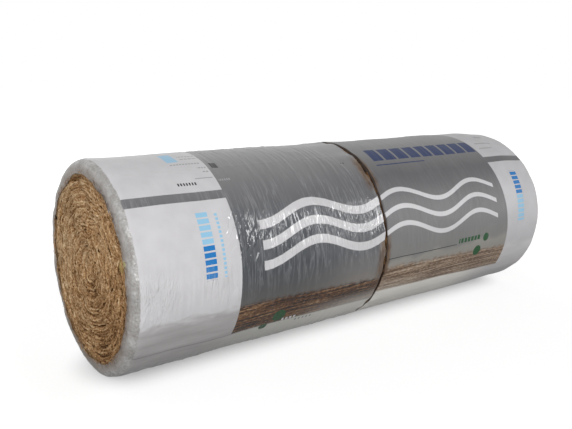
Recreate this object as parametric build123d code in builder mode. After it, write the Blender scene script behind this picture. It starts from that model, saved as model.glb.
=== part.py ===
"""A roll of compressed mineral wool insulation in its printed film, lying on the floor.

The roll lies along X with its lowest line on Z = 0 and its middle at X = 0. The wool mat is wound on
itself without a core. The film is drawn over both ends, and it is slit all round at mid length by the
same cut that parts the outer turns of the wool into two half widths.
"""

import os

from build123d import *

# Overall size over the film, in millimetres
roll_length = 1200.0
roll_diameter = 426.0

# Film: the wound plies taken together, the room between the film and the wool, the fold over the wool's
# edge, and the flat flap that the fold leaves on the end
film_thickness = 0.6
film_clearance = 0.3
film_fold_radius = 20.0
film_flap_width = 11.0

# Slit at mid length: the gap between the two film lips, the lips' own radius, and the cut's full depth
slit_width = 4.0
slit_lip_radius = 5.0
slit_depth = 60.0

# Winding of the mat: one compressed turn, the eye that the first turn folds round, and the crease
# that two neighbouring turns leave on the roll's ends
turn_thickness = 20.0
eye_radius = 9.0
crease_width = 5.0
crease_depth = 6.0

# How far a cutting shape runs out past the face that it cuts
cut_overrun = 2.0

roll_radius = roll_diameter / 2
film_offset = film_thickness + film_clearance
film_fold_start = roll_radius - film_fold_radius
film_opening_radius = film_fold_start - film_flap_width
wool_radius = roll_radius - film_offset
wool_length = roll_length - 2 * film_offset
wool_end = wool_length / 2
wool_edge_radius = film_fold_radius - film_offset
kerf_width = slit_width + 2 * film_offset
kerf_depth = slit_depth - film_offset
kerf_mouth_radius = slit_lip_radius - film_offset

# The winding runs from the eye to where the wool's edge starts to round over
half_turn_growth = turn_thickness / 2
winding_outer_radius = wool_radius - wool_edge_radius - crease_width
half_turns = int((winding_outer_radius - eye_radius) / half_turn_growth)

# Half sections are drawn above the roll's axis: local X runs along the roll, local Y is the radius
roll_axis = Axis((0, 0, roll_radius), (1, 0, 0))
section_plane = Plane(origin=(0, 0, roll_radius), x_dir=(1, 0, 0), z_dir=(0, -1, 0))

# Spiral crease between the turns, on the end at -X: half circles on two alternating centres, so that
# each half turn starts where the last one stopped and lies half a turn further out
with BuildPart() as turn_crease:
    for half_turn in range(half_turns):
        side = 1 if half_turn % 2 == 0 else -1
        centre_y = -side * half_turn_growth / 2
        crease_y = centre_y + side * (eye_radius + half_turn * half_turn_growth)
        with BuildSketch(Plane.XY.offset(roll_radius)):
            with BuildLine():
                Polyline(
                    (-wool_end - cut_overrun, crease_y - crease_width / 2),
                    (-wool_end, crease_y - crease_width / 2),
                    (-wool_end + crease_depth, crease_y),
                    (-wool_end, crease_y + crease_width / 2),
                    (-wool_end - cut_overrun, crease_y + crease_width / 2),
                    close=True,
                )
            make_face()
        revolve(axis=Axis((0, centre_y, roll_radius), (1, 0, 0)), revolution_arc=180)

# Wool: one turned solid with rounded end edges, the cut at mid length and the creases on both ends
with BuildPart() as wool_roll:
    with BuildSketch(section_plane) as wool_section:
        Rectangle(wool_length, wool_radius, align=(Align.CENTER, Align.MIN))
        fillet(wool_section.vertices().group_by(Axis.Y)[-1], wool_edge_radius)
        with Locations((0, wool_radius)):
            Rectangle(kerf_width, kerf_depth, align=(Align.CENTER, Align.MAX), mode=Mode.SUBTRACT)
        kerf_mouth = wool_section.vertices().group_by(Axis.Y)[-1].sort_by_distance((0, wool_radius))[:2]
        fillet(kerf_mouth, kerf_mouth_radius)
    revolve(axis=roll_axis)
    add(turn_crease.part, mode=Mode.SUBTRACT)
    mirror(turn_crease.part, about=Plane.YZ, mode=Mode.SUBTRACT)
wool_roll.part.label = "wool_roll"

# Film on the half at -X: flat on the wool's end, folded over its edge, straight along the roll and
# turned into the slit
with BuildPart() as film_wrap_left:
    with BuildSketch(section_plane):
        with BuildLine():
            end_flap = Line(
                (-roll_length / 2, film_opening_radius),
                (-roll_length / 2, film_fold_start),
            )
            end_fold = JernArc(end_flap @ 1, end_flap % 1, film_fold_radius, -90)
            barrel = Line(end_fold @ 1, (-slit_width / 2 - slit_lip_radius, roll_radius))
            JernArc(barrel @ 1, barrel % 1, slit_lip_radius, -90)
            offset(amount=film_thickness, side=Side.RIGHT)
        make_face()
    revolve(axis=roll_axis)
film_wrap_left.part.label = "film_wrap_left"

# Film on the half at +X, the same piece turned end for end
with BuildPart() as film_wrap_right:
    mirror(film_wrap_left.part, about=Plane.YZ)
film_wrap_right.part.label = "film_wrap_right"

os.makedirs("parts", exist_ok=True)
for piece in (wool_roll, film_wrap_left, film_wrap_right):
    export_step(piece.part, f"parts/{piece.part.label}.step")
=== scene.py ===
from types import SimpleNamespace

import bmesh
import bpy
import numpy as np
from mathutils import Matrix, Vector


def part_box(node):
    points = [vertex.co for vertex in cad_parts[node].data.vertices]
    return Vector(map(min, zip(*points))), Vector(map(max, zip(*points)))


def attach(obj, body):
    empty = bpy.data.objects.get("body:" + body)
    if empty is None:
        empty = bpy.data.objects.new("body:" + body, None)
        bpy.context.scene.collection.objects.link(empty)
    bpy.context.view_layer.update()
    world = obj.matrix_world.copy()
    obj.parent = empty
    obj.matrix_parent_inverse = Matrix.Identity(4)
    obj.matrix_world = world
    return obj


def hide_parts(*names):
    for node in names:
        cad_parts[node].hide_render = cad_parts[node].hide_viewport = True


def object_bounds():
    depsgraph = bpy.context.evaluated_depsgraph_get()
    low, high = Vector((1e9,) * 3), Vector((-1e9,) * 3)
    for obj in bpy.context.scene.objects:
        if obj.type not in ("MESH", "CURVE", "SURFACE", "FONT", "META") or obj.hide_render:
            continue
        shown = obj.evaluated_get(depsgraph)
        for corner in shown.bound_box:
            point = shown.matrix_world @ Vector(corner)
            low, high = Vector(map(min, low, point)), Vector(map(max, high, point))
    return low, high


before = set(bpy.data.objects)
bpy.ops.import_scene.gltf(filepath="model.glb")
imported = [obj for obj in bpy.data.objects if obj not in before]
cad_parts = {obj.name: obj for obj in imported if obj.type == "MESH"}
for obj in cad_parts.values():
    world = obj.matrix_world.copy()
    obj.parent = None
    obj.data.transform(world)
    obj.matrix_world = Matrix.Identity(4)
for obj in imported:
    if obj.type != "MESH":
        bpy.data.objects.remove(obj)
cad_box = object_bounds()

# Wool roll
# A mat of brown glass wool, wound on itself under pressure with no core, so each end shows about ten
# turns of layered fibre. One cut at mid length parts the outer turns into two half widths.
roll_low, roll_high = (np.array(corner) for corner in cad_box)
roll_radius = (roll_high[2] - roll_low[2]) / 2
wool_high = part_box("wool_roll")[1]
wool_edge_radius = 0.0191
rim_radius = wool_high[2] - roll_radius - wool_edge_radius
face_sink = 0.0025
wool_face = wool_high[0] - face_sink
wool_tuck = 0.0022
edge_steps = 6

# The winding on the ends: heights of its relief, and the lengths of its waves along and across a turn
winding_turns = 10
turn_columns = 300
turn_rows = 10
turn_thickness = rim_radius / winding_turns
crease_depth, crease_wave = 0.0055, 0.14
layer_height, layer_waves = 0.0014, (0.110, 0.0065)
tuft_height, tuft_waves = 0.0009, (0.014, 0.0060)
swell_height, swell_waves = 0.0022, (0.110, 0.110)
pit_depth, pit_waves, pit_level = 0.0055, (0.020, 0.009), 1.25
most_proud = 0.0015
most_shaded = 1.2
eye_radius = 0.010
eye_depth = 0.009

# The cut at mid length, with ruffled walls
cut_half_width = 0.0031
cut_mouth_radius = 0.0041
cut_depth = 0.059
cut_steps = 17
ruffle_height, ruffle_waves = 0.0008, (0.030, 0.006)
ruffle_start = 0.006
seam_fade = 0.2
cut_shade_start, cut_shade_depth = 0.004, 0.012

# The far upper edge, which is pressed rounder than the rest
draw_start = 0.48
draw_angle = np.radians(65)
draw_spread = np.radians(60)
draw_share = 0.045


def ripples(rng, along, across, wave_along, wave_across, count=40):
    """Plane waves with random phases added up: each wave's length along and across is the given one
    times a random share from a half to two, and the sum is scaled to a spread of about one."""
    share = 2.0 ** rng.uniform(-1, 1, (2, count))
    sign = rng.choice((-1.0, 1.0), count)
    phase = rng.uniform(0, 2 * np.pi, count)
    total = np.zeros(np.broadcast(along, across).shape)
    for wave in range(count):
        lengthwise = sign[wave] * along / (wave_along * share[0, wave])
        crosswise = across / (wave_across * share[1, wave])
        total += np.cos(2 * np.pi * (lengthwise + crosswise) + phase[wave])
    return total * np.sqrt(2 / count)


def slope_up(value, start, length):
    """A straight rise from zero at the start to one after the length, level outside."""
    return np.clip((value - start) / length, 0, 1)


def grid_corners(grid):
    """The values of a grid at the four corners of each of its faces."""
    return grid[:-1, :-1], grid[1:, :-1], grid[1:, 1:], grid[:-1, 1:]


def grid_faces(index):
    """Four-cornered faces between the neighbouring columns and rows of a grid of point numbers."""
    return np.stack(grid_corners(index), axis=-1).reshape(-1, 4)


def grid_map(along, across):
    """The two layout values of a grid at the four corners of each of its faces, in the faces' order."""
    layout = np.stack(np.broadcast_arrays(along, across), axis=-1)
    return np.stack(grid_corners(layout), axis=-2).reshape(-1, 4, 2)


def add_object(name, mesh, material):
    """The mesh as an object at the origin, with its material."""
    mesh.materials.append(material)
    piece = bpy.data.objects.new(name, mesh)
    bpy.context.scene.collection.objects.link(piece)
    return piece


def make_piece(name, material, points, faces, layout, depth=None):
    """One smooth closed mesh: coincident points are merged and its faces turned outwards. The layout values
    go into its map and the depths to its points, for the patterns and the painted shade of its material."""
    mesh = bpy.data.meshes.new(name)
    mesh.from_pydata(points.tolist(), [], faces.tolist())
    mesh.uv_layers.new(name="layout").data.foreach_set("uv", layout.reshape(-1))
    if depth is not None:
        mesh.attributes.new("depth", "FLOAT", "POINT").data.foreach_set("value", depth)
    work = bmesh.new()
    work.from_mesh(mesh)
    bmesh.ops.remove_doubles(work, verts=work.verts, dist=1e-6)
    loose = [vert for vert in work.verts if not vert.link_faces]
    bmesh.ops.delete(work, geom=loose, context="VERTS")
    bmesh.ops.recalc_face_normals(work, faces=work.faces)
    work.to_mesh(mesh)
    work.free()
    mesh.polygons.foreach_set("use_smooth", np.ones(len(mesh.polygons), bool))
    return add_object(name, mesh, material)


def around_axis(x, radius, angle):
    """Points at a distance from the roll's axis: the angle is zero at the front and a right angle on top."""
    y = -radius * np.cos(angle)
    z = roll_radius + radius * np.sin(angle)
    return np.stack(np.broadcast_arrays(x, y, z), axis=-1)


def drawn_in(points):
    """The points with the roll's far upper edge drawn in towards the axis: a share of the distance from the
    axis that grows over the last tenth of a metre at +X and fades round the roll from its upper front."""
    along = slope_up(points[..., 0], draw_start, roll_high[0] - draw_start)
    y, z = points[..., 1], points[..., 2] - roll_radius
    turned = np.mod(np.arctan2(z, -y) - draw_angle + np.pi, 2 * np.pi) - np.pi
    share = draw_share * along**2 * (3 - 2 * along) * np.exp(-((turned / draw_spread) ** 2))
    return np.stack((points[..., 0], y * (1 - share), z * (1 - share) + roll_radius), axis=-1)


def winding_end(rng, side):
    """The end of the winding: a strip one turn wide, carried along a spiral whose radius grows evenly from
    the middle to the rim, where the last turn thins out to nothing. Wool bulges between the creases on
    both edges of the strip, and ripples that run along it make its layers."""
    turn = np.arange(-turn_columns, (winding_turns + 1) * turn_columns + 1)[:, None] / turn_columns
    share = np.arange(turn_rows + 1) / turn_rows
    spiral = rim_radius * np.clip(turn / winding_turns, 0, 1)
    next_spiral = rim_radius * np.clip((turn + 1) / winding_turns, 0, 1)
    radius = spiral + (next_spiral - spiral) * share
    along = np.pi * turn_thickness * turn * np.abs(turn) + 0 * share
    across = turn_thickness * share + 0 * turn
    angle = 2 * np.pi * turn
    patchy = np.clip(0.7 + 0.7 * ripples(rng, along, 0, crease_wave, 1), 0, 1.6)
    crease = crease_depth * np.abs(2 * share - 1) ** 6 * patchy
    layers = layer_height * ripples(rng, along, across, *layer_waves)
    tufts = tuft_height * ripples(rng, along, across, *tuft_waves)
    swell = swell_height * ripples(rng, radius * np.cos(angle), radius * np.sin(angle), *swell_waves)
    pits = pit_depth * slope_up(ripples(rng, along, across, *pit_waves), pit_level, 1)
    eye = eye_depth * np.exp(-(radius / eye_radius) ** 2)
    calm = np.clip(radius / turn_thickness, 0, 1) * np.clip((rim_radius - radius) / turn_thickness * 3, 0, 1)
    sunk = eye + calm * np.maximum(crease + layers + tufts + swell + pits, -most_proud)
    # How deep the creases, layers, tufts and pits are, for the painted shade that the wool's material lays
    # there
    depth = np.clip((calm * (crease + layers + tufts + pits)) / pit_depth, -0.5, most_shaded)
    points = around_axis(side * (wool_face - sunk), radius, angle)
    columns = turn.shape[0]
    index = np.arange(columns * turn_rows).reshape(columns, turn_rows)
    index = np.column_stack((index[:-turn_columns], index[turn_columns:, 0]))
    layout = grid_map(along[: len(index)], across[: len(index)])
    return drawn_in(points[:, :-1].reshape(-1, 3)), grid_faces(index), layout, depth[:, :-1].reshape(-1)


def wool_barrel(rng):
    """The turned rest of the wool: a profile from rim to rim, with rounded edges and the cut at mid length,
    carried round the axis. The cut's walls are ruffled by ripples that die out at the seam."""
    quarter = np.linspace(0, np.pi / 2, edge_steps + 1)
    outer = rim_radius + wool_edge_radius - wool_tuck
    edge_x = wool_face - wool_edge_radius + wool_edge_radius * np.cos(quarter)
    edge_r = rim_radius + (wool_edge_radius - wool_tuck) * np.sin(quarter)
    mouth_x = cut_half_width + cut_mouth_radius * (1 - np.sin(quarter))
    mouth_r = outer - cut_mouth_radius * (1 - np.cos(quarter))
    wall_r = np.linspace(outer - cut_mouth_radius, outer - cut_depth, cut_steps + 1)[1:]
    half_x = np.concatenate((edge_x, mouth_x, np.full(wall_r.size, cut_half_width)))
    half_r = np.concatenate((edge_r, mouth_r, wall_r))
    x = np.concatenate((-half_x, half_x[::-1]))[:, None]
    radius = np.concatenate((half_r, half_r[::-1]))[:, None]
    angle = np.linspace(0, 2 * np.pi, turn_columns + 1)
    step_x = np.diff(x, axis=0, prepend=x[:1])
    step_r = np.diff(radius, axis=0, prepend=radius[:1])
    along = radius * angle
    across = np.cumsum(np.hypot(step_x, step_r))[:, None] + 0 * angle
    sunk = outer - cut_mouth_radius - radius
    near_cut = np.abs(x) < 2 * (cut_half_width + cut_mouth_radius)
    off_seam = np.clip(np.minimum(angle, 2 * np.pi - angle) / seam_fade, 0, 1)
    ruffle = ruffle_height * ripples(rng, along, across, *ruffle_waves)
    ruffle = ruffle * np.clip(sunk / ruffle_start, 0, 1) * off_seam * near_cut
    points = around_axis(x + np.sign(x) * ruffle, radius - np.abs(ruffle), angle)
    index = np.arange(points.shape[0] * points.shape[1]).reshape(points.shape[:2])
    # How deep the cut goes, for the painted shade that darkens its walls
    depth = np.clip((sunk + cut_shade_start) / cut_shade_depth, 0, most_shaded) * near_cut + 0 * angle
    return drawn_in(points.reshape(-1, 3)), grid_faces(index), grid_map(along, across), depth.reshape(-1)


def joined(parts):
    """Several grids' points, faces, layout values and depths as one set, with the point numbers shifted."""
    starts = np.cumsum([0] + [len(part[0]) for part in parts[:-1]])
    points, faces, layout, depth = zip(*parts)
    faces = [numbers + start for numbers, start in zip(faces, starts)]
    return tuple(np.concatenate(values) for values in (points, faces, layout, depth))


class Amount:
    """A number, colour or vector that a material works out at each point, as the output of a node. A sum on
    amounts adds the node that works it out."""

    def __init__(self, socket):
        self.tree = socket.id_data
        self.socket = socket

    def __add__(self, other):
        return calc(self.tree, "ADD", self, other)

    def __sub__(self, other):
        return calc(self.tree, "SUBTRACT", self, other)

    def __rsub__(self, other):
        return calc(self.tree, "SUBTRACT", other, self)

    def __mul__(self, other):
        return calc(self.tree, "MULTIPLY", self, other)

    def __truediv__(self, other):
        return calc(self.tree, "DIVIDE", self, other)

    def __pow__(self, other):
        return calc(self.tree, "POWER", self, other)

    def __abs__(self):
        return calc(self.tree, "ABSOLUTE", self)


def new_material(name):
    """A material with an empty node tree but for its output and its principled shader."""
    material = bpy.data.materials.new(name)
    material.use_nodes = True
    return material, material.node_tree, material.node_tree.nodes["Principled BSDF"]


def fill(node, inputs):
    """Fills inputs of a node by name or number: links an amount, and types any other value in."""
    for name, value in inputs.items():
        if isinstance(value, Amount):
            value.tree.links.new(value.socket, node.inputs[name])
        else:
            node.inputs[name].default_value = value


def add_node(tree, kind, inputs, output=0, **settings):
    """One shader node with its options set and its inputs filled by name or number, and one of its outputs
    as an amount."""
    node = tree.nodes.new("ShaderNode" + kind)
    for option, value in settings.items():
        setattr(node, option, value)
    fill(node, inputs)
    return Amount(node.outputs[output])


def calc(tree, operation, first, second=0.0):
    """The result of one sum on two values."""
    return add_node(tree, "Math", {0: first, 1: second}, operation=operation)


def vector_calc(operation, first, second=(0, 0, 0), output=0):
    """The result of one sum on two vectors."""
    return add_node(first.tree, "VectorMath", {0: first, 1: second}, output, operation=operation)


def part_of(vector, axis):
    """One of the three parts of a vector."""
    return add_node(vector.tree, "SeparateXYZ", {0: vector}, axis)


def paint(under, over, mask):
    """The colour under, covered by the colour over where the mask is one."""
    return add_node(mask.tree, "Mix", {0: mask, 6: under, 7: over}, 2, data_type="RGBA")


def step_up(value, low, high):
    """A smooth step from zero at low to one at high."""
    inputs = {"Value": value, "From Min": low, "From Max": high}
    return add_node(value.tree, "MapRange", inputs, interpolation_type="SMOOTHSTEP")


def ball_mask(place, middle, radius, blur):
    """One inside a soft ball round a point, or inside a dot of a flat layout."""
    return step_up(vector_calc("DISTANCE", place, middle, "Value"), radius + blur, radius - blur)


def stretched(vector, scale, turned=0.0):
    """The vector with its three parts scaled, after a turn in its own plane."""
    if turned:
        vector = add_node(vector.tree, "Mapping", {"Vector": vector, "Rotation": (0, 0, turned)})
    return add_node(vector.tree, "Mapping", {"Vector": vector, "Scale": scale})


def lumps(vector, scale, detail=3.0, roughness=0.5, distortion=0.0, turned=0.0):
    """Cloudy noise from zero to one, with as many lumps to a metre as the scale says in each direction."""
    inputs = {"Vector": stretched(vector, scale, turned), "Scale": 1.0, "Detail": detail}
    inputs.update({"Roughness": roughness, "Distortion": distortion})
    return add_node(vector.tree, "TexNoise", inputs)


def ramp(value, stops):
    """Colours blended along a value: stops are pairs of a place and a colour."""
    node = value.tree.nodes.new("ShaderNodeValToRGB")
    fill(node, {0: value})
    blend = node.color_ramp.elements
    while len(blend) < len(stops):
        blend.new(0.5)
    for element, (place, colour) in zip(blend, stops):
        element.position = place
        element.color = (*colour, 1)
    return Amount(node.outputs[0])


def bump(height, strength, distance, normal=None):
    """The surface's normal, tilted as if the height stood up from it by the distance."""
    inputs = {"Strength": strength, "Distance": distance, "Height": height}
    if normal is not None:
        inputs["Normal"] = normal
    return add_node(height.tree, "Bump", inputs)


wool_dark = (0.070, 0.030, 0.010)
wool_brown = (0.312, 0.168, 0.072)
wool_tan = (0.495, 0.310, 0.156)
wool_straw = (0.740, 0.560, 0.355)
gap_shade_black = (0.004, 0.002, 0.001, 1)
tuft_yellow = (0.420, 0.370, 0.130, 1)
# A yellow stain on the wool, and painted shade, nearly black, in a gap near the rim of the left end
stains_and_shades = (
    (gap_shade_black, (-0.598, 0.170, 0.2825), 0.0065, 0.0030, 0.95),
    (tuft_yellow, (-0.598, -0.159, 0.2615), 0.0100, 0.0060, 0.60),
)


def stained_and_shaded(place, colour):
    """The colour with a yellow stain and the painted shade of a gap laid over it, each a soft ball round a
    point, mixed in by its share.
    """
    for spot_colour, middle, radius, blur, share in stains_and_shades:
        colour = paint(colour, spot_colour, ball_mask(place, middle, radius, blur) * share)
    return colour


def wool_material():
    """Layered fibre: long streaks along the winding, shorter tufts across them, and painted shade for pits
    between. Painted light makes it paler towards the top and the back, and painted shade makes it darker
    where it is sunk."""
    material, tree, shader = new_material("glass_wool")
    layout = add_node(tree, "UVMap", {}, uv_map="layout")
    place = add_node(tree, "TexCoord", {}, "Object")
    # Painted shade: the depth at each point darkens the wool in creases, pits and the cut
    sunk = add_node(tree, "Attribute", {}, "Fac", attribute_name="depth")
    streaks = lumps(layout, (12, 260, 1), 5.0, 0.65)
    tufts = lumps(layout, (110, 190, 1), 4.0, 0.6, 0.8)
    # Painted shade: dark spots that stand for pits in the mat
    hole_shade = step_up(lumps(layout, (60, 130, 1), 2.0, 0.5, 0.6), 0.62, 0.74)
    clouds = lumps(place, (24, 24, 24))
    specks = lumps(place, (300, 300, 300), 2.0)
    value = streaks * 0.70 + tufts * 0.75 + clouds * 0.25 + specks * 0.62 - hole_shade * 0.30
    # Painted light and shade: paler towards the top and the back, darker where the wool is sunk
    value = value + part_of(place, 2) * 0.24 + part_of(place, 1) * 0.42 - 0.705 - sunk * 0.20
    stops = ((0.28, wool_dark), (0.43, wool_brown), (0.56, wool_tan), (0.74, wool_straw))
    fill(shader, {"Base Color": stained_and_shaded(place, ramp(value, stops)), "Normal": bump(value, 0.8, 0.003)})
    fill(shader, {"Roughness": 0.95, "Specular IOR Level": 0.15})
    return material


wool_rng = np.random.default_rng(11)
wool_parts = [winding_end(wool_rng, -1), wool_barrel(wool_rng), winding_end(wool_rng, 1)]
wool_roll = make_piece("wool_winding", wool_material(), *joined(wool_parts))
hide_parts("wool_roll")
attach(wool_roll, "root")

# Loose fibres
# Single strands and thin tufts of glass wool that stand off the cut ends and hang in the slit. They are
# caught in the mat at one end or both, and lie mostly along its turns.
strand_rings = 3
strand_sides = 3
end_count, fringe_count, tuft_count = 1900, 500, 160
open_radius = 0.184
end_lengths, end_thickness, end_sunk = (0.006, 0.026), (0.0004, 0.0010), (-0.0010, 0.0040)
fringe_radius, fringe_spread, fringe_proud = 0.181, 0.0025, (0.0020, 0.0050)
tuft_lengths, tuft_thickness, tuft_sunk = (0.014, 0.042), (0.0010, 0.0018), (0.0005, 0.0030)
full_length_radius = 0.06
tightest_turn = 0.02
mean_lift = 0.0010
slit_count, mouth_count = 2700, 300
slit_lengths, slit_thickness = (0.006, 0.018), (0.0004, 0.0009)
slit_start, slit_mean_depth, slit_most_depth = 0.0075, 0.010, 0.05
mouth_depths = (0.0020, 0.0060)
slit_painted_shade = 0.55


def strands(rng, middle, direction, lift, length, thickness):
    """Thin three-sided spindles, pointed at both ends: each follows a gentle bow from its middle along its
    direction, raised towards lift, and its radius swells to the given thickness between the two points."""
    count = len(middle)
    place = np.linspace(-0.5, 0.5, strand_rings + 2)
    bow = rng.normal(0, 0.10, (count, 1, 3)) * length[:, None, None]
    path = middle[:, None] + direction[:, None] * (place[:, None] * length[:, None, None])
    path = path + lift[:, None] * (0.25 - place**2)[:, None] * 4 + bow * (place**2)[:, None] * 4
    side_way = np.cross(direction, rng.normal(size=(count, 3)))
    side_way /= np.linalg.norm(side_way, axis=1, keepdims=True)
    other_way = np.cross(direction, side_way)
    turn = 2 * np.pi * np.arange(strand_sides) / strand_sides
    ring = np.cos(turn)[:, None] * side_way[:, None] + np.sin(turn)[:, None] * other_way[:, None]
    body = path[:, 1:-1, None] + ring[:, None] * thickness[:, None, None, None] / 2
    points = np.concatenate((body.reshape(count, -1, 3), path[:, :1], path[:, -1:]), axis=1)
    tip = strand_rings * strand_sides
    tail = tip + 1
    grid = np.arange(tip).reshape(strand_rings, strand_sides)
    grid = np.column_stack((grid, grid[:, 0]))
    quads = grid_faces(grid)
    fans = [(tip, grid[0, side + 1], grid[0, side]) for side in range(strand_sides)]
    fans += [(tail, grid[-1, side], grid[-1, side + 1]) for side in range(strand_sides)]
    triangles = np.concatenate((quads[:, [0, 2, 1]], quads[:, [0, 3, 2]], np.array(fans)))
    per_strand = tail + 1
    faces = triangles[None] + per_strand * np.arange(count)[:, None, None]
    return points.reshape(-1, 3), faces.reshape(-1, 3), np.repeat(rng.uniform(0, 1, count), per_strand)


def ring_ways(angle):
    """Unit vectors along a ring round the roll's axis, and out from the axis, at an angle."""
    tangent = np.stack((0 * angle, np.sin(angle), np.cos(angle)), axis=1)
    outward = np.stack((0 * angle, -np.cos(angle), np.sin(angle)), axis=1)
    return tangent, outward


def end_fibres(rng, side):
    """Strands spread evenly over the open end, along the turns give or take half a right angle, with a
    fringe of them over the film's edge and some thick tufts that keep to the turns."""
    radius = open_radius * np.sqrt(rng.uniform(0, 1, end_count))
    angle = rng.uniform(0, 2 * np.pi, end_count)
    length = rng.uniform(*end_lengths, end_count)
    thickness = rng.uniform(*end_thickness, end_count)
    skew = rng.normal(0, 0.40, end_count)
    sunk = rng.uniform(*end_sunk, end_count)
    fringe = slice(0, fringe_count)
    radius[fringe] = rng.normal(fringe_radius, fringe_spread, fringe_count)
    sunk[fringe] = -rng.uniform(*fringe_proud, fringe_count)
    tuft = slice(fringe_count, fringe_count + tuft_count)
    length[tuft] = rng.uniform(*tuft_lengths, tuft_count)
    thickness[tuft] = rng.uniform(*tuft_thickness, tuft_count)
    skew[tuft] *= 0.25
    sunk[tuft] = rng.uniform(*tuft_sunk, tuft_count)
    sunk += eye_depth * np.exp(-(radius / eye_radius) ** 2)
    length *= np.clip(radius / full_length_radius, 0.3, 1)
    tangent, outward = ring_ways(angle)
    direction = np.cos(skew)[:, None] * tangent + np.sin(skew)[:, None] * outward
    middle = around_axis(side * (wool_face - sunk), radius, angle)
    bend = -(length**2 / (8 * np.maximum(radius, tightest_turn)))[:, None] * outward
    lift = -bend
    lift[:, 0] = side * rng.exponential(mean_lift, end_count)
    return strands(rng, drawn_in(middle + bend), direction, lift, length, thickness)


def slit_fibres(rng):
    """Strands in the cut, from its mouth down, that bridge it or lie along its walls, with a few of them
    close under the film's lips. Their tones are darkened, as painted shade in the cut."""
    angle = rng.uniform(0, 2 * np.pi, slit_count)
    depth = rng.exponential(slit_mean_depth, slit_count)
    radius = roll_radius - slit_start - np.clip(depth, 0, slit_most_depth)
    mouth = slice(0, mouth_count)
    radius[mouth] = roll_radius - rng.uniform(*mouth_depths, mouth_count)
    length = rng.uniform(*slit_lengths, slit_count)
    thickness = rng.uniform(*slit_thickness, slit_count)
    swing = rng.normal(0, 0.45, slit_count)
    swing[mouth] *= 0.4
    axial = np.array((1.0, 0.0, 0.0))
    direction = np.cos(swing)[:, None] * ring_ways(angle)[0] + np.sin(swing)[:, None] * axial
    middle = around_axis(rng.uniform(-cut_half_width, cut_half_width, slit_count), radius, angle)
    points, faces, shade = strands(rng, middle, direction, np.zeros((slit_count, 3)), length, thickness)
    return points, faces, slit_painted_shade * shade


def fibre_material():
    """Each strand has its own shade, from dark brown to pale straw, given by its points."""
    material, tree, shader = new_material("loose_fibre")
    shade = add_node(tree, "Attribute", {}, "Fac", attribute_name="shade")
    place = add_node(tree, "TexCoord", {}, "Object")
    value = shade * 0.55 + lumps(place, (150, 150, 150), 2.0) * 0.50
    stops = ((0.15, wool_dark), (0.45, wool_brown), (0.70, wool_tan), (1.0, wool_straw))
    fill(shader, {"Base Color": stained_and_shaded(place, ramp(value, stops))})
    fill(shader, {"Roughness": 0.9, "Specular IOR Level": 0.15})
    return material


def make_fibres(name, material, points, faces, shade):
    """One mesh of many strands, with a shade at each point."""
    mesh = bpy.data.meshes.new(name)
    mesh.from_pydata(points.tolist(), [], faces.tolist())
    mesh.attributes.new("shade", "FLOAT", "POINT").data.foreach_set("value", shade)
    piece = add_object(name, mesh, material)
    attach(piece, "root")


fibre_rng = np.random.default_rng(23)
loose_fibre = fibre_material()
make_fibres("end_fibres_left", loose_fibre, *end_fibres(fibre_rng, -1))
make_fibres("end_fibres_right", loose_fibre, *end_fibres(fibre_rng, 1))
make_fibres("slit_fibres", loose_fibre, *slit_fibres(fibre_rng))

# Printed film
# Thin polyethylene film, wound round the roll in a few plies and shrunk over both ends. It is printed with
# white end panels, a grey middle and a brown streaked band, and the cut at mid length slits it in two.
film_end = roll_high[0]
film_thickness = 0.0003
fold_radius = 0.020
flap_width = 0.011
lip_gap = 0.002
lip_radius = 0.005
lip_start = lip_gap + lip_radius
fold_start = film_end - fold_radius
flap_start = fold_start + fold_radius * np.pi / 2
film_inner_end = lip_start - lip_radius * np.pi / 2
film_outer_end = flap_start + flap_width
film_columns = 264
lip_steps, barrel_rows, fold_steps, flap_steps = 8, 236, 14, 6
inner_barrel_steps = 9
inner_sink, inner_fade = 0.0016, 0.03
seam_angle = np.radians(-80)
floor_gap = 0.0002

# The film's relief: each height, then the lengths of its waves along and round the roll, and for creases,
# which are ridges, the width of the ridges as a share of the waves' height
film_swell, film_swell_sink = (0.0007, 0.30, 0.45), 0.0006
film_creases, film_crease_sink = (0.0008, 0.075, 0.55, 0.30), 0.0006
film_slants, film_slant_sink = (0.0006, 0.090, 0.16, 0.22), 0.0002
film_wrinkles = (0.00022, 0.016, 0.30)
film_crumples, crumple_lean = (0.0010, 0.034, 0.40, 0.50), 0.80
crumple_reach, crumple_length = 0.358, 0.030
crumple_angle, crumple_arc = np.radians(19), np.radians(14)
pleat_swell, pleat_ridges = (0.0007, 1.0, 0.110), (0.0005, 0.12, 0.070, 0.35)
pleat_start, pleat_growth, pleat_limits = 0.05, 0.06, (-0.0008, 0.0011)
film_puckers, pucker_start, pucker_growth = (0.0008, 0.2, 0.060), 0.02, 0.03
lap_step, lap_fade = 0.0007, 0.09
barrel_fade = 0.02
under_low, under_high, under_fade = np.radians(-45), np.radians(-20), 0.2
taut_reach, taut_growth = 0.37, 0.03
taut_angle, taut_arc = np.radians(2), np.radians(12)
flap_wander, flap_wander_waves, flap_least = 0.0020, (1.0, 0.16), 0.004
cut_wander, cut_wander_waves = 0.0007, (1.0, 0.05)


def film_profile(reach):
    """The film's half section by its length from the slit: a quarter round lip, the straight barrel, a
    quarter round fold and the flat flap on the end. Gives the place along and off the axis and the normal."""
    lip = np.clip((lip_start - reach) / lip_radius, 0, np.pi / 2 * 1.4)
    fold = np.clip((reach - fold_start) / fold_radius, 0, np.pi / 2)
    flap = np.clip(reach - flap_start, 0, None)
    x = np.clip(reach, lip_start, fold_start) - lip_radius * np.sin(lip) + fold_radius * np.sin(fold)
    radius = roll_radius - lip_radius * (1 - np.cos(lip)) - fold_radius * (1 - np.cos(fold)) - flap
    return x, radius, np.sin(fold) - np.sin(lip), np.cos(fold) * np.cos(lip)


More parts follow.
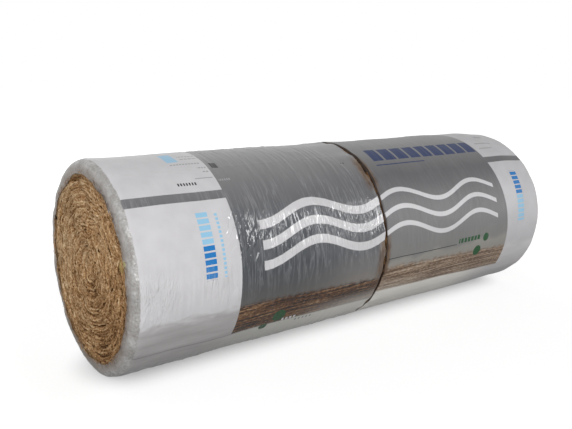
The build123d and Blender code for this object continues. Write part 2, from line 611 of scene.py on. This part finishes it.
def hoop_ripples(rng, reach, angle, wave_along, wave_around, count=48):
    """Waves as in ripples, but with a whole number of waves round the roll, so that they close."""
    share = 2.0 ** rng.uniform(-1, 1, (2, count))
    sign = rng.choice((-1.0, 1.0), count)
    phase = rng.uniform(0, 2 * np.pi, count)
    around = np.round(2 * np.pi * roll_radius / (wave_around * share[1]))
    total = np.zeros(np.broadcast(reach, angle).shape)
    for wave in range(count):
        lengthwise = 2 * np.pi * reach / (wave_along * share[0, wave])
        total += np.cos(lengthwise + sign[wave] * around[wave] * angle + phase[wave])
    return total * np.sqrt(2 / count)


def bell(value, middle, width):
    """A smooth bump of one at the middle that fades over the width on both sides."""
    return np.exp(-(((value - middle) / width) ** 2))


def film_relief(rng, reach, angle, slack, lap_angle):
    """How far the film stands off its profile: a slow swell, hoop creases and fine hoop wrinkles that follow
    slack, a crumpled patch at the front, pleats over the fold, puckers at the slit, and the lap's step.
    Creases and pleats are sharp ridges along the lines where a rippled field passes through zero."""

    def waves(along, height, wave_along, wave_around, ridge_width=None):
        field = hoop_ripples(rng, along, angle, wave_along, wave_around)
        return height * (field if ridge_width is None else bell(field, 0, ridge_width))

    swell = waves(reach, *film_swell) - film_swell_sink
    creases = waves(reach, *film_creases) - film_crease_sink
    slants = waves(reach, *film_slants) - film_slant_sink
    wrinkles = waves(reach, *film_wrinkles)
    crumples = waves(reach + crumple_lean * roll_radius * angle, *film_crumples)
    crumples *= bell(reach, crumple_reach, crumple_length) * bell(angle, crumple_angle, crumple_arc)
    pleats = waves(0 * reach, *pleat_swell) + waves(reach, *pleat_ridges)
    pleats = np.clip(pleats * slope_up(reach, fold_start - pleat_start, pleat_growth), *pleat_limits)
    near_lip = np.clip((lip_start + pucker_start - reach) / pucker_growth, 0, 1)
    puckers = near_lip * waves(reach, *film_puckers)
    since_lap = np.mod(angle - lap_angle, 2 * np.pi) * roll_radius
    step = lap_step * np.clip(1 - since_lap / lap_fade, 0, 1)
    turned = np.mod(angle + np.pi, 2 * np.pi) - np.pi
    off_under = np.minimum(turned - under_low, 0) + np.maximum(turned - under_high, 0)
    taut = slope_up(reach, taut_reach, taut_growth) * slope_up(turned, taut_angle, taut_arc)
    loose = slack * (1 - 0.85 * bell(off_under, 0, under_fade)) * (1 - 0.9 * taut)
    barrel = slope_up(reach, lip_start, barrel_fade) * np.clip((fold_start - reach) / barrel_fade, 0, 1)
    relief = barrel * (swell + loose * (creases + slants + wrinkles + crumples))
    return relief + pleats * (0.4 + 0.6 * slack) + puckers + step


def film_shell(rng, side, slack, lap_angle):
    """The film's outer face as a grid of lengths from the slit and angles round the roll, closed by a plain
    inner face with few rows on the barrel. The flap's edge and the slit's edge wander."""
    lip_rows = np.linspace(film_inner_end, lip_start, lip_steps + 1)[:-1]
    main_rows = np.linspace(lip_start, fold_start, barrel_rows)
    fold_rows = np.linspace(fold_start, flap_start, fold_steps + 1)[1:]
    flap_rows = np.linspace(flap_start, film_outer_end, flap_steps + 1)[1:]
    few_rows = main_rows[:: barrel_rows // inner_barrel_steps]
    outer = np.concatenate((lip_rows, main_rows, fold_rows, flap_rows))
    inner = np.concatenate((lip_rows, few_rows, fold_rows, flap_rows))[::-1]
    angle = seam_angle + 2 * np.pi * np.arange(film_columns + 1) / film_columns
    closed = np.append(angle[:-1], angle[0])
    edge_wave = hoop_ripples(rng, 0, closed, *flap_wander_waves)
    cut_wave = hoop_ripples(rng, 0, closed, *cut_wander_waves)
    state = rng.bit_generator.state

    def surface(rows, sink):
        rng.bit_generator.state = state
        reach = rows[:, None] + 0 * angle
        flap = slope_up(reach, flap_start, flap_width)
        lip = np.clip((lip_start - reach) / lip_radius, 0, 1)
        wander = flap * np.maximum(flap_wander * edge_wave, -flap_least) - lip * cut_wander * cut_wave
        x, radius, normal_x, normal_r = film_profile(reach + wander)
        relief = film_relief(rng, reach, closed, slack, lap_angle)
        if sink:
            edge = np.clip(1 - np.minimum(reach - lip_start, fold_start - reach) / inner_fade, 0, 1)
            relief = edge * relief - film_thickness - sink * (1 - edge)
        points = around_axis(side * (x + normal_x * relief), radius + normal_r * relief, angle)
        points[..., 2] = np.maximum(points[..., 2], 2 * floor_gap if sink else floor_gap)
        return points, reach

    outer_points, outer_reach = surface(outer, 0.0)
    inner_points, inner_reach = surface(inner, inner_sink)
    points = np.concatenate((outer_points, inner_points, outer_points[:1]))
    reach = np.concatenate((outer_reach, inner_reach, outer_reach[:1]))
    index = np.arange(points.shape[0] * points.shape[1]).reshape(points.shape[:2])
    return drawn_in(points.reshape(-1, 3)), grid_faces(index), grid_map(side * reach, roll_radius * angle)


film_white = (0.640, 0.630, 0.645, 1)
film_clear_low = (0.295, 0.280, 0.264)
film_clear = (0.388, 0.375, 0.361)
film_clear_high = (0.545, 0.534, 0.527)
film_on_wool_dark = (0.075, 0.036, 0.020)
film_on_wool = (0.150, 0.095, 0.055)
film_on_wool_pale = (0.260, 0.170, 0.110)
film_pale = (0.860, 0.835, 0.780, 1)
film_crease_highlight = (0.520, 0.525, 0.540, 1)
flap_shadow = (0.080, 0.050, 0.040, 1)
print_grey = (0.330, 0.330, 0.340, 1)
lap_shadow_grey = (0.230, 0.218, 0.214, 1)
slit_shade_dark = (0.030, 0.016, 0.009, 1)
ink_blue = (0.010, 0.190, 0.520, 1)
ink_light_blue = (0.300, 0.560, 0.760, 1)
ink_navy = (0.018, 0.036, 0.115, 1)
ink_green = (0.006, 0.072, 0.016, 1)
ink_black = (0.020, 0.020, 0.022, 1)
edge_blur = 0.0006
spot_blur = 0.004

# Places of the fields: lengths in metres from the slit, and angles in degrees from the front
near_slit_reach = (0.26, 0.03)
grey_arc = (-20, 90)
band_top_blur, band_low_blur, paler_near_slit_height = (0.008, -0.006), (-0.003, 0.006), 0.045
strip_low_angle, strip_end_reach, strip_lap = -82, (0.28, 0.46), 0.004
shown_low_arc, shown_high_arc = (-18, 7), (38, 62)
line_angle, line_wave, line_swing, line_pitch, line_count = 20, 0.26, 0.017, 0.040, 3
panel_shade_arc, panel_shade_wobble = (-14, -20), 0.045
clear_reach, flap_shade_arc = (0.5865, 0.5885), (36, 70)
showing_reach = (flap_start - 0.014, film_outer_end - 0.005)
flap_shade_reach = (flap_start - 0.002, flap_start + 0.007)
lip_dark_reach, lip_upper_arc = (0.0050, 0.0025), (40, 140)
creased_arc, taut_panel_arc, dull_arc = (-6, 50), (2, 14), (45, 75)
crumple_dot, hatch_dot, dot_squeeze = (-0.352, 15, 0.042, 0.024), (-0.556, -1, 0.040, 0.032), 0.75


def degrees_round(*angles):
    """The length round the roll at an angle from the front, or the lengths at several."""
    lengths = [roll_radius * np.radians(angle) for angle in angles]
    return lengths if len(lengths) > 1 else lengths[0]


def fraction(value):
    """What is left of a value over its whole number."""
    return calc(value.tree, "FRACT", value)


def least(first, second):
    """The smaller of two values."""
    return calc(first.tree, "MINIMUM", first, second)


def most(first, second):
    """The larger of two values."""
    return calc(first.tree, "MAXIMUM", first, second)


def rise(value, low, high, start=0.0):
    """A straight rise from the start at low to one at high, level outside."""
    inputs = {"Value": value, "From Min": low, "From Max": high, "To Min": start}
    return add_node(value.tree, "MapRange", inputs)


def within(value, low, high, blur=edge_blur):
    """One between low and high, zero outside, with soft edges."""
    return step_up(value, low - blur, low + blur) * step_up(value, high + blur, high - blur)


def dot_mask(layout, along, angle, radius, blur=edge_blur):
    """One inside a round dot of the film."""
    return ball_mask(layout, (along, degrees_round(angle), 0), radius, blur)


def two_tone(value, colours):
    """Two colours blended by noise."""
    return ramp(value, tuple(zip((0.3, 0.7), colours)))


def film_places(tree, half):
    """What the print is worked out from: the layout map, whose u runs along the roll from the slit and v
    round it from the front, the reach from the slit, the level over the brown band's lower edge, and noise
    and colours that several fields share, among them the painted shade of the underside."""
    layout = add_node(tree, "UVMap", {}, uv_map="layout")
    along, around = part_of(layout, 0), part_of(layout, 1)
    reach = along * half.side
    return SimpleNamespace(
        layout=layout,
        along=along,
        around=around,
        reach=reach,
        near_slit=step_up(reach, *near_slit_reach),
        level=around + along * half.band_slopes[0] - degrees_round(half.band_arc[0]),
        wobble=(lumps(layout, (60, 60, 1)) - 0.5) * 0.010,
        milky=lumps(layout, (70, 30, 1), 4.0, 0.6),
        under_colour=two_tone(lumps(layout, (9, 55, 1), 4.0), half.under_colours),
    )


def grey_middle(at, half):
    """Metallic ink whose tone changes round the roll, and near the slit, with a painted sheen that lightens
    it towards the top.
    """
    clouds = (lumps(at.layout, (14, 9, 1)) - 0.5) * 0.10
    height = rise(at.around, *degrees_round(*grey_arc)) + clouds
    return paint(ramp(height, half.greys), ramp(height, half.slit_greys), at.near_slit)


def brown_band(at, half, colour):
    """The streaked brown band with a soft ragged upper edge, and the pale strip under it, which turns into
    the painted shade of the underside towards the end. Near the slit both are paler."""
    band_low, band_high, strip_low = degrees_round(*half.band_arc, strip_low_angle)
    pale = within(at.level, strip_low - band_low, strip_lap, 0.001)
    # Towards the end the pale strip turns into the painted shade of the underside
    pale_colour = paint(half.pale_colour, at.under_colour, step_up(at.reach, *strip_end_reach))
    colour = paint(colour, pale_colour, pale)
    colour = paint(colour, film_pale, pale * at.near_slit * 0.6)
    ragged = (lumps(at.layout, (70, 50, 1), 4.0) - 0.5) * 0.022
    top_level = at.around + at.along * half.band_slopes[1] + ragged
    band = step_up(top_level - band_high, *band_top_blur) * step_up(at.level, *band_low_blur)
    streaks = lumps(at.layout, (7, 210, 1), 5.0, 0.65, 0.3)
    bits = lumps(at.layout, (110, 260, 1), 4.0)
    stops = tuple(zip((0.36, 0.475, 0.585, 0.73), half.band_colours))
    colour = paint(colour, ramp(streaks * 1.1 + bits * 0.55 - 0.345, stops), band)
    # The band and the strip are paler near the slit
    paler_near_slit = at.near_slit * step_up(at.level, paler_near_slit_height, 0.0)
    return paint(colour, film_pale, paler_near_slit * half.band_fade)


def wool_and_shade_beside_slit(at, half, colour):
    """Wool that shows through the film beside the slit, in two stretches of the front. On the right half,
    where the strip is narrower, it is also painted shade beside the slit.
    """
    width = half.strip_width
    beside = step_up(at.reach + at.wobble, width, width * 0.4)
    low_stretch = within(at.around, *degrees_round(*shown_low_arc), 0.025)
    high_stretch = within(at.around, *degrees_round(*shown_high_arc), 0.020)
    stops = ((0.35, film_on_wool_dark), (0.55, film_on_wool), (0.75, film_on_wool_pale))
    return paint(colour, ramp(at.milky, stops), beside * (low_stretch + high_stretch) * 0.95)


def wave_lines(at, half, colour):
    """Three white lines across the middle, side by side round the roll, that swing in even waves."""
    swing = calc(at.along.tree, "SINE", at.along * (2 * np.pi / line_wave)) * line_swing
    start = degrees_round(line_angle) - line_count * line_pitch / 2
    level = at.around - swing
    lines = within(level, start, start + line_count * line_pitch)
    half_share = half.line_share / 2
    lines = lines * within(fraction((level - start) / line_pitch), 0.5 - half_share, 0.5 + half_share, 0.02)
    return paint(colour, film_white, lines * within(at.along, *half.line_span))


def end_panels(at, half, colour):
    """White end panels, parted by a grey gap, with painted shade on their undersides, whose edge wanders.
    Gives the colour and their mask.
    """
    start = half.panel_start
    panel = step_up(at.reach + at.around * half.panel_skew, start - edge_blur, start + edge_blur)
    panel = panel * (1.0 - within(at.around, *degrees_round(*half.gap_arc)))
    panel = panel * step_up(at.level, -edge_blur, edge_blur)
    shade_edge_wobble = (lumps(at.layout, (22, 60, 1)) - 0.5) * panel_shade_wobble
    # Painted shade on the panels' undersides, with a wandering edge
    under = step_up(at.around + shade_edge_wobble, *degrees_round(*panel_shade_arc))
    panel_colour = two_tone(lumps(at.layout, (30, 30, 1), 4.0), half.panel_colours)
    return paint(colour, paint(panel_colour, at.under_colour, under), panel), panel


def small_marks(at, half, colour):
    """Plain bars, rows of dashes and dots in the places of the print's small matter, and on the left half a
    painted shadow line along the lap's edge. Dashes cover a share of each pitch along the roll or round it."""
    for ink, span, arc, dash in half.marks:
        mask = within(at.along, *span) * within(at.around, *degrees_round(*arc))
        if dash is not None:
            way, pitch, share = dash
            phase = fraction((at.along if way == "along" else at.around) / pitch)
            mask = mask * calc(phase.tree, "LESS_THAN", phase, share)
        colour = paint(colour, ink, mask)
    for ink, along, angle, radius in half.dots:
        colour = paint(colour, ink, dot_mask(at.layout, along, angle, radius))
    return colour


def clear_margin(at, colour):
    """Clear milky film over the fold, with wool showing through at its inner edge, in the shade of the upper
    front. Gives the colour and the margin's mask."""
    speckle = (lumps(at.layout, (230, 190, 1), 2.0, 0.6) - 0.5) * 0.62
    stops = ((0.30, film_clear_low), (0.50, film_clear), (0.72, film_clear_high))
    clear_colour = ramp(at.milky + speckle, stops)
    inner_edge = at.reach + at.wobble * 1.5
    showing = step_up(inner_edge + speckle * 0.030, *showing_reach)
    clear_colour = paint(clear_colour, (*film_on_wool, 1), showing * 0.62)
    shaded = step_up(inner_edge, *flap_shade_reach)
    shaded = shaded * within(at.around, *degrees_round(*flap_shade_arc), 0.05)
    clear_colour = paint(clear_colour, flap_shadow, shaded * 0.7)
    clear = step_up(at.reach + at.wobble * 0.6, *clear_reach)
    return paint(colour, clear_colour, clear), clear


def dark_lip(at, half, colour):
    """The slit's lip, dark with painted shade and with the wool seen in the open slit, and wider on top, and
    single spots of wool on the margin.
    """
    upper = within(at.around, *degrees_round(*lip_upper_arc), 0.030)
    lip_edge = at.reach - upper * half.upper_lip
    # Painted shade and wool along the slit's lip
    colour = paint(colour, slit_shade_dark, step_up(lip_edge, *lip_dark_reach))
    for ink, along, angle, radius in half.spots:
        colour = paint(colour, ink, dot_mask(at.layout, along, angle, radius, spot_blur))
    return colour


def crease_share(at, panel):
    """How creased the film is: in clusters, most at the front, and least on the taut upper end panels."""
    front = within(at.around, *degrees_round(*creased_arc), 0.030)
    cluster = step_up(lumps(at.layout, (11, 7, 1), 2.0), 0.32, 0.54)
    taut = panel * step_up(at.around, *degrees_round(*taut_panel_arc))
    return cluster * (front * 0.8 + 0.2) * (1.0 - taut * 0.9)


def film_normal(at, strength, grooves, creased, clear):
    """Fine relief: grooves round the roll and slanted ones, a crumpled patch and a hatched one at the front
    of the left half, and crinkles in the clear margin."""
    slanted = least(abs(lumps(at.layout, (60, 10, 1), 3.0, 0.55, 0.4, 0.35) - 0.5) * 6.0, 0.5)
    squeezed = stretched(at.layout, (1.0, dot_squeeze, 1))
    patch = dot_mask(squeezed, *crumple_dot)
    buckle = lumps(at.layout, (32, 14, 1), 2.0)
    phase = fraction(part_of(stretched(at.layout, (60, 60, 1), 0.65), 0) + buckle * 2.0)
    crumple = least((1.0 - phase) / 0.8, phase / 0.2)
    hatched = dot_mask(squeezed, *hatch_dot)
    hatch = abs(lumps(at.layout, (95, 24, 1), 2.0, 0.5, 0.6, 0.30) - 0.5) * 3.0
    creased = creased * (1.0 - patch * 0.7)
    normal = bump(grooves * creased, strength, 0.0012)
    normal = bump(slanted * creased, strength * 0.6, 0.0010, normal)
    normal = bump(crumple * patch, strength, 0.0026, normal)
    normal = bump(hatch * hatched, strength, 0.0013, normal)
    crinkle = abs(lumps(at.layout, (60, 90, 1), 3.0, 0.5, 1.0) - 0.5)
    return bump(crinkle * clear, 0.8, 0.006, normal)


def film_material(name, half):
    """Glossy film with its print painted field by field, painted highlights along the grooves of the creases,
    and a duller top."""
    material, tree, shader = new_material(name)
    at = film_places(tree, half)
    colour = brown_band(at, half, grey_middle(at, half))
    colour = wave_lines(at, half, wool_and_shade_beside_slit(at, half, colour))
    colour, panel = end_panels(at, half, colour)
    colour, clear = clear_margin(at, small_marks(at, half, colour))
    colour = dark_lip(at, half, colour)
    creased = crease_share(at, panel)
    grooves = least(abs(lumps(at.layout, (85, 8, 1), 3.0, 0.55, 0.4) - 0.5) * 5.0, 0.5)
    # Painted highlights: pale lines along the grooves of the creases
    crease_highlight = (1.0 - grooves * 2.0) ** 3.0 * creased * half.wear_share
    normal = film_normal(at, half.crease_strength, grooves, creased, clear)
    front_roughness, top_roughness = half.roughness
    dull = step_up(at.around, *degrees_round(*dull_arc))
    roughness = dull * (top_roughness - front_roughness) + front_roughness
    fill(shader, {"Base Color": paint(colour, film_crease_highlight, crease_highlight), "Normal": normal})
    fill(shader, {"Roughness": roughness, "Specular IOR Level": half.gloss_level})
    return material


left_half = SimpleNamespace(
    name="film_left",
    node="film_wrap_left",
    side=-1.0,
    seed=41,
    slack=1.0,
    lap_angle=-35.7,
    # Grey ink, rising towards the top as a painted sheen
    greys=(
        (0.00, (0.118, 0.114, 0.106)),
        (0.10, (0.075, 0.076, 0.079)),
        (0.20, (0.048, 0.054, 0.064)),
        (0.42, (0.105, 0.111, 0.122)),
        (0.56, (0.148, 0.148, 0.156)),
        (0.90, (0.270, 0.270, 0.270)),
    ),
    slit_greys=(
        (0.00, (0.235, 0.212, 0.188)),
        (0.10, (0.165, 0.161, 0.162)),
        (0.20, (0.110, 0.113, 0.122)),
        (0.42, (0.130, 0.134, 0.144)),
        (0.56, (0.142, 0.142, 0.150)),
        (0.90, (0.265, 0.265, 0.265)),
    ),
    band_slopes=(0.0, 0.03),
    band_arc=(-35.8, -18.8),
    band_fade=0.45,
    band_colours=(
        (0.010, 0.002, 0.000),
        (0.070, 0.025, 0.006),
        (0.178, 0.083, 0.031),
        (0.430, 0.290, 0.160),
    ),
    pale_colour=(0.610, 0.605, 0.560, 1),
    under_colours=((0.370, 0.356, 0.354), (0.475, 0.462, 0.462)),
    upper_lip=0.0010,
    line_span=(-0.330, 0.02),
    line_share=0.46,
    panel_colours=((0.590, 0.580, 0.595), (0.640, 0.630, 0.645)),
    panel_skew=0.0,
    panel_start=0.382,
    gap_arc=(43.6, 48.9),
    strip_width=0.030,
    crease_strength=1.0,
    wear_share=0.20,
    roughness=(0.11, 0.32),
    gloss_level=0.5,
    marks=(
        (ink_light_blue, (-0.458, -0.434), (20, 37), ("around", 0.0128, 0.74)),
        (ink_blue, (-0.458, -0.434), (2.5, 20), ("around", 0.0128, 0.74)),
        (ink_light_blue, (-0.420, -0.414), (3, 36), ("around", 0.0085, 0.62)),
        (ink_light_blue, (-0.456, -0.432), (74, 86), None),
        (ink_black, (-0.470, -0.428), (53.5, 55.4), ("along", 0.0060, 0.55)),
        (ink_black, (-0.373, -0.358), (65.5, 70.5), None),
        (print_grey, (-0.424, -0.386), (80, 81), ("along", 0.0070, 0.75)),
        (print_grey, (-0.424, -0.386), (76.5, 77.5), ("along", 0.0090, 0.80)),
        (print_grey, (-0.456, -0.390), (70.5, 71.6), ("along", 0.0065, 0.75)),
        (print_grey, (-0.405, -0.386), (66, 67), ("along", 0.0060, 0.70)),
        (print_grey, (-0.400, -0.385), (62.5, 63.4), ("along", 0.0070, 0.75)),
        (print_grey, (-0.425, -0.387), (57.6, 58.2), None),
        (print_grey, (-0.378, -0.352), (54.8, 56.2), ("along", 0.0050, 0.60)),
        (ink_black, (-0.056, -0.053), (58.5, 59.6), None),
        (ink_black, (-0.049, -0.046), (58.5, 59.6), None),
        (film_white, (-0.262, -0.222), (-35.4, -33.2), ("along", 0.0100, 0.60)),
        (print_grey, (-0.222, -0.170), (-39.0, -37.0), ("along", 0.0100, 0.50)),
        # A painted shadow along the lap's edge
        (lap_shadow_grey, (-0.600, -0.372), (-36.1, -35.7), None),
    ),
    dots=(
        (ink_green, -0.272, -30, 0.016),
        (ink_green, -0.303, -37, 0.010),
    ),
    spots=((tuft_yellow, -0.618, 17.5, 0.006),),
)
# Grey ink, rising towards the top as a painted sheen
right_greys = (
    (0.00, (0.300, 0.285, 0.260)),
    (0.10, (0.300, 0.288, 0.262)),
    (0.13, (0.215, 0.212, 0.207)),
    (0.34, (0.158, 0.156, 0.161)),
    (0.60, (0.130, 0.128, 0.134)),
    (0.90, (0.285, 0.285, 0.285)),
)
right_half = SimpleNamespace(
    name="film_right",
    node="film_wrap_right",
    side=1.0,
    seed=42,
    slack=0.35,
    lap_angle=-43,
    greys=right_greys,
    slit_greys=right_greys,
    band_slopes=(0.03, 0.03),
    band_arc=(-30.4, -12.6),
    band_fade=0.15,
    band_colours=(
        (0.115, 0.068, 0.042),
        (0.250, 0.172, 0.118),
        (0.400, 0.305, 0.225),
        (0.600, 0.500, 0.400),
    ),
    pale_colour=(0.940, 0.915, 0.860, 1),
    under_colours=((0.610, 0.598, 0.600), (0.680, 0.668, 0.672)),
    upper_lip=0.0040,
    line_span=(-0.02, 0.405),
    line_share=0.28,
    panel_colours=((0.535, 0.527, 0.541), (0.580, 0.571, 0.586)),
    panel_skew=0.10,
    panel_start=0.447,
    gap_arc=(46.9, 52.0),
    strip_width=0.018,
    crease_strength=0.20,
    wear_share=0.06,
    roughness=(0.40, 0.46),
    gloss_level=0.3,
    marks=(
        (ink_navy, (0.045, 0.420), (58, 70), ("along", 0.043, 0.82)),
        (ink_navy, (0.043, 0.206), (53.8, 54.6), None),
        (ink_blue, (0.492, 0.520), (20, 38), ("around", 0.0128, 0.74)),
        (ink_light_blue, (0.492, 0.520), (1, 20), ("around", 0.0128, 0.74)),
        (ink_black, (0.010, 0.245), (-7.2, -6.7), None),
        (ink_green, (0.252, 0.338), (-6.6, -3.4), ("along", 0.0130, 0.72)),
        (print_grey, (0.445, 0.500), (60.5, 61.6), ("along", 0.0080, 0.75)),
        (print_grey, (0.450, 0.520), (66.5, 67.8), ("along", 0.0080, 0.75)),
        (print_grey, (0.490, 0.525), (76, 78.5), ("along", 0.0090, 0.75)),
    ),
    dots=(
        (ink_green, 0.360, -6, 0.011),
        (ink_green, 0.334, -15, 0.014),
    ),
    spots=(),
)

for half in (left_half, right_half):
    film_rng = np.random.default_rng(half.seed)
    shell = film_shell(film_rng, half.side, half.slack, np.radians(half.lap_angle))
    film = make_piece(half.name, film_material(half.name + "_print", half), *shell)
    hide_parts(half.node)
    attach(film, "root")

# Floor and light
# A plain white studio floor and a pale surround. A soft key lamp and a tall strip lamp stand in front, one at
# each side, and gloss shows them. A side lamp and a back lamp fill in, and gloss doesn't show them.
studio_white = (1, 1, 1, 1)
floor_grey = (0.28, 0.28, 0.28, 1)
floor_half = 12.0
floor_glow_near, floor_glow_reach = 0.80, (0.7, 1.4)
floor_mirror_share, floor_mirror_near, floor_mirror_reach = 0.75, 0.25, (0.15, 0.50)
shadow_half_length = 0.52
shadow_near, shadow_far, shadow_share = 0.02, 0.14, 0.65
surround_light = 0.27


def seen_rays(tree, mirrored):
    """One for rays from the camera or through a clear surface, and the given share for mirrored rays."""
    straight = add_node(tree, "LightPath", {}, "Is Camera Ray")
    through = add_node(tree, "LightPath", {}, "Is Transmission Ray")
    glossy = add_node(tree, "LightPath", {}, "Is Glossy Ray")
    return most(most(straight, through), glossy * mirrored)


def floor_glow(tree):
    """The floor's own light: white far off, and a little less about the roll. Less of it is mirrored close
    under the roll, as painted shade in the roll's reflections, and it is dimmed for the camera along the line
    where the roll rests, as a painted contact shadow over the roll's real shadow."""
    place = add_node(tree, "TexCoord", {}, "Object")
    glow = rise(vector_calc("LENGTH", place, output="Value"), *floor_glow_reach, floor_glow_near)
    # Painted shade in reflections: less of the floor's glow is mirrored close under the roll
    mirrored = rise(abs(part_of(place, 1)), *floor_mirror_reach, floor_mirror_near) * floor_mirror_share
    off_line = vector_calc("SUBTRACT", vector_calc("ABSOLUTE", place), (shadow_half_length, 0, 0))
    off_line = vector_calc("LENGTH", vector_calc("MAXIMUM", off_line), output="Value")
    # Painted contact shadow: the floor's glow is dimmed along the line where the roll rests
    shadow = step_up(off_line, shadow_far, shadow_near) * shadow_share
    seen = add_node(tree, "LightPath", {}, "Is Camera Ray")
    return glow * seen_rays(tree, mirrored) * (1.0 - shadow * seen)


floor_material, floor_tree, floor_shader = new_material("studio_floor")
fill(floor_shader, {"Base Color": floor_grey, "Roughness": 0.9})
fill(floor_shader, {"Emission Color": studio_white, "Emission Strength": floor_glow(floor_tree)})
floor_mesh = bpy.data.meshes.new("floor")
floor_corners = [(-floor_half, -floor_half, 0), (floor_half, -floor_half, 0)]
floor_corners += [(floor_half, floor_half, 0), (-floor_half, floor_half, 0)]
floor_mesh.from_pydata(floor_corners, [], [(0, 1, 2, 3)])
floor = add_object("floor", floor_mesh, floor_material)

world = bpy.data.worlds.new("studio")
bpy.context.scene.world = world
world.use_nodes = True
world_tree = world.node_tree
sky_way = part_of(add_node(world_tree, "TexCoord", {}, "Generated"), 1)
surround = most(seen_rays(world_tree, rise(sky_way, -0.2, 0.5, 0.5)), surround_light)
fill(world_tree.nodes["Background"], {"Color": studio_white, "Strength": surround})


def standing(right, up, back, place):
    """The matrix of a lamp or a camera at a place, from its ways to the right, up and back."""
    matrix = np.eye(4)
    matrix[:3, :3] = np.stack([way / np.linalg.norm(way) for way in (right, up, back)], axis=1)
    matrix[:3, 3] = place
    return Matrix(matrix)


def soft_lamp(name, place, width, height, power, mirrored=True):
    """An oblong lamp that shines from its place towards the middle of the roll, with its height upright.
    Gloss shows it where it is mirrored."""
    data = bpy.data.lights.new(name, "AREA")
    data.shape = "RECTANGLE"
    data.size = width
    data.size_y = height
    data.energy = power
    lamp = bpy.data.objects.new(name, data)
    lamp.visible_glossy = mirrored
    bpy.context.scene.collection.objects.link(lamp)
    way = np.array((0.0, 0.0, roll_radius)) - np.array(place)
    across = np.cross(way, (0, 0, 1.0))
    lamp.matrix_world = standing(across, np.cross(across, way), -way, place)


soft_lamp("key_lamp", (-1.9, -1.9, 1.15), 1.3, 1.3, 46.0)
soft_lamp("strip_lamp", (2.8, -2.5, 1.35), 0.50, 2.4, 50.0)
soft_lamp("side_lamp", (-2.0, 2.5, 0.9), 1.2, 1.2, 14.0, mirrored=False)
soft_lamp("back_lamp", (0.7, 3.0, 1.1), 1.6, 1.2, 26.0, mirrored=False)

# Camera
# Stands to the left and in front of the roll, a little above it, as in the photograph.
camera_place = np.array((-1.038, -1.2007, 0.6112))
camera_yaw = 0.6524
camera_pitch = 0.2256
camera_roll = 0.0247
image_width = 572
focal_pixels = 663.5
level_right = np.array((np.cos(camera_yaw), -np.sin(camera_yaw), 0))
forward = np.cos(camera_pitch) * np.array((np.sin(camera_yaw), np.cos(camera_yaw), 0))
forward[2] = -np.sin(camera_pitch)
level_up = np.cross(level_right, forward)
camera_right = np.cos(camera_roll) * level_right + np.sin(camera_roll) * level_up
camera_up = np.cos(camera_roll) * level_up - np.sin(camera_roll) * level_right
camera_data = bpy.data.cameras.new("camera")
camera_data.sensor_width = 36.0
camera_data.lens = focal_pixels * camera_data.sensor_width / image_width
camera = bpy.data.objects.new("camera", camera_data)
bpy.context.scene.collection.objects.link(camera)
camera.matrix_world = standing(camera_right, camera_up, -forward, camera_place)
bpy.context.scene.camera = camera
bpy.context.scene.view_settings.view_transform = "Standard"
